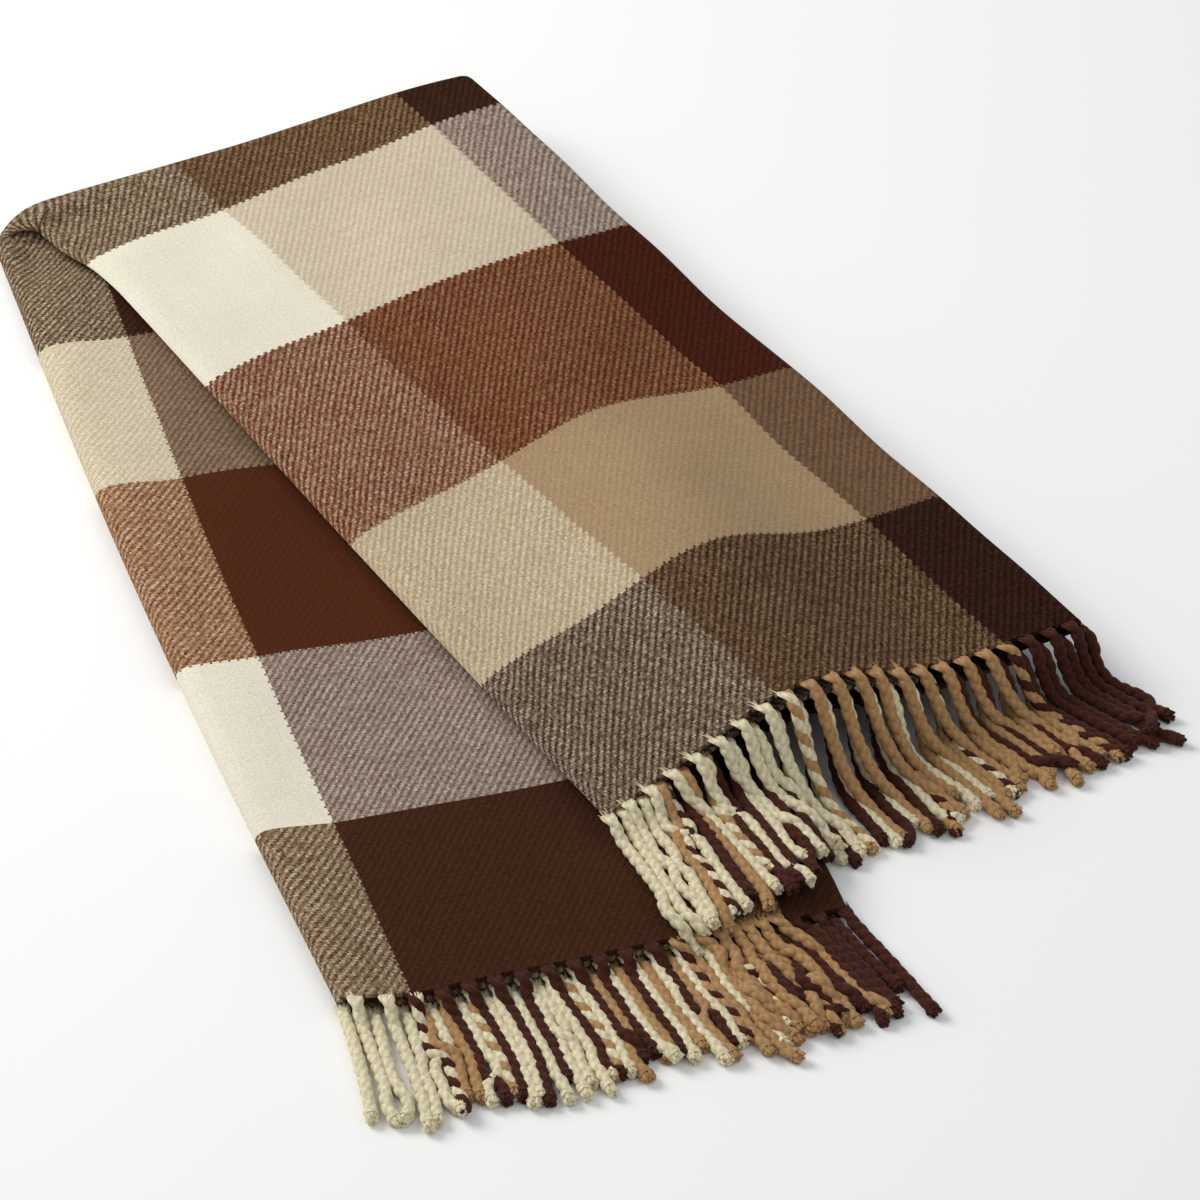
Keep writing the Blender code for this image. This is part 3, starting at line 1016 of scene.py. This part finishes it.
def addTassel(store, t, chain, slots):
    own = np.random.default_rng(t["seed"])
    course = cordCourse(chain)
    pair = [slots.index(colour) for colour in t["pair"]]
    for number, slot in enumerate(pair):
        end = addPly(store, course, number, slot, own)
        addBrush(store, end, slot, own)
    addRoot(store, course, pair, own)


def spinPlaces(mesh, store):
    # how far round its tube and how far along it each corner lies
    corners = np.zeros(len(mesh.loops), np.int32)
    mesh.loops.foreach_get("vertex_index", corners)
    around, walked = np.array(store["around"]), np.array(store["walked"])
    coords = np.stack([around[corners], walked[corners]], axis=1)
    starts = np.zeros(len(mesh.polygons), np.int32)
    mesh.polygons.foreach_get("loop_start", starts)
    totals = np.zeros(len(mesh.polygons), np.int32)
    mesh.polygons.foreach_get("loop_total", totals)
    quads = starts[totals == 4]
    for k in range(4):  # the last side of a tube closes at 1 instead of 0
        here = coords[quads + k, 0]
        most = np.max([coords[quads + j, 0] for j in range(4)], axis=0)
        coords[quads + k, 0] = np.where((here == 0) & (most > 0.6), 1.0, here)
    return coords


def addFringePiece(name, members, cordMaterials):
    slots = sorted(cordMaterials)
    store = {"points": [], "faces": [], "materials": [], "around": [], "walked": [], "offset": 0.0}
    for t, chain in members:
        addTassel(store, t, chain, slots)
    mesh = bpy.data.meshes.new(name)
    mesh.from_pydata(store["points"], [], store["faces"])
    for slotName in slots:
        mesh.materials.append(cordMaterials[slotName])
    mesh.polygons.foreach_set("material_index", store["materials"])
    layer = mesh.uv_layers.new(name="spin")
    layer.data.foreach_set("uv", spinPlaces(mesh, store).astype(np.float32).ravel())
    piece = linkPiece(name, mesh)
    bpy.ops.object.mode_set(mode="EDIT")
    bpy.ops.mesh.select_all(action="SELECT")
    bpy.ops.mesh.normals_make_consistent(inside=False)
    bpy.ops.object.mode_set(mode="OBJECT")
    bpy.ops.object.shade_smooth_by_angle(angle=math.radians(70))
    return piece


print("cloth")
twill = makeClothMaterial()
points, coords = halfGrid(onLower, -1)
lowerCloth = addClothPiece("lowerCloth", points, coords, twill)
points, coords = halfGrid(onUpper, 1)
upperCloth = addClothPiece("upperCloth", points[::-1], coords[::-1], twill)
points, coords = backGrid()
# the inner layer turns on the fold line itself, and the two layers round it turn more widely
cut = int(np.argmin(np.abs(acrossPlaces() - folds["leftFold"])))
backInner = addClothPiece("backInner", points[:, : cut + 1], coords[:, : cut + 1], twill)
backOuter = addClothPiece("backOuter", points[:, cut:], coords[:, cut:], twill)

print("fringe")
cordMaterials = {name: makeCordMaterial(name) for name in ("cream", "tan", "brown")}
tasselCount = int(clothWidth / fringe["pitch"])
tassels = [plantTassel(side, n) for side in ("lower", "upper") for n in range(tasselCount)]
chains = settleTassels(tassels)
fringePieces = {"lower": [], "upper": []}
groups = {}
for t, chain in zip(tassels, chains):
    groups.setdefault((t["side"], t["level"], t["colour"]), []).append((t, chain))
for (side, level, colour), members in sorted(groups.items()):
    piece = addFringePiece(f"tassels_{side}_{layers[level]}_{colour}", members, cordMaterials)
    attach(piece, f"{side}_half")
    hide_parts(f"fringe_{side}_{layers[level]}_{colour}")
    fringePieces[side].append(piece)

print("what turns with which half")
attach(lowerCloth, "lower_half")
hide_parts("cloth_lower_half")
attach(upperCloth, "upper_half")
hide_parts("cloth_upper_half")
turnedPieces = (
    (backInner, folds["innerTurn"], folds["leftFold"], folds["innerArc"]),
    (backOuter, folds["outerTurn"], clothWidth - folds["leftFold"], folds["backArc"]),
)
for piece, reach, width, arc in turnedPieces:
    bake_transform(piece)
    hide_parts("cloth_back_fold")

# floor and light
room = {
    "floor": (0.95, 0.95, 0.94),
    "floorSize": 16.0,
    "sky": (0.95, 0.97, 1.0),
    "skyStrength": 0.52,
    "key": {"place": (-1.5, 1.7, 1.9), "size": 1.8, "power": 66.0, "colour": (1.0, 0.98, 0.95)},
    "fill": {"place": (1.2, -2.6, 3.0), "size": 3.0, "power": 16.0, "colour": (0.97, 0.98, 1.0)},
}


def addFloor():
    bpy.ops.mesh.primitive_grid_add(x_subdivisions=4, y_subdivisions=4, size=room["floorSize"])
    floor = bpy.context.object
    floor.name = "floor"
    material = bpy.data.materials.new("paleFloor")
    material.use_nodes = True
    tree = material.node_tree
    place = addNode(tree, "ShaderNodeTexCoord").outputs["Object"]
    cloud = addNoise(tree, place, 3.0, 3.0)
    soft = varied(tree, cloud.outputs["Fac"], 0.02)
    base = addNode(tree, "ShaderNodeRGB")
    base.outputs[0].default_value = (*room["floor"], 1.0)
    shader = tree.nodes["Principled BSDF"]
    colour = scaledColour(tree, base.outputs[0], soft)
    tree.links.new(colour, shader.inputs["Base Color"])
    shader.inputs["Roughness"].default_value = 0.9
    shader.inputs["Specular IOR Level"].default_value = 0.1
    floor.data.materials.append(material)


def addSoftLight(name):
    kind = room[name]
    turn = (-Vector(kind["place"])).to_track_quat("-Z", "Y").to_euler()
    bpy.ops.object.light_add(type="AREA", location=kind["place"], rotation=turn)
    light = bpy.context.object
    light.name = name + "Light"
    light.data.shape = "DISK"
    light.data.size, light.data.energy = kind["size"], kind["power"]
    light.data.color = kind["colour"]


def addSky():
    world = bpy.data.worlds.new("room")
    bpy.context.scene.world = world
    world.use_nodes = True
    sky = world.node_tree.nodes["Background"]
    sky.inputs["Color"].default_value = (*room["sky"], 1.0)
    sky.inputs["Strength"].default_value = room["skyStrength"]


print("floor and light")
addFloor()
addSoftLight("key")
addSoftLight("fill")
addSky()
bpy.context.scene.view_settings.view_transform = "Standard"
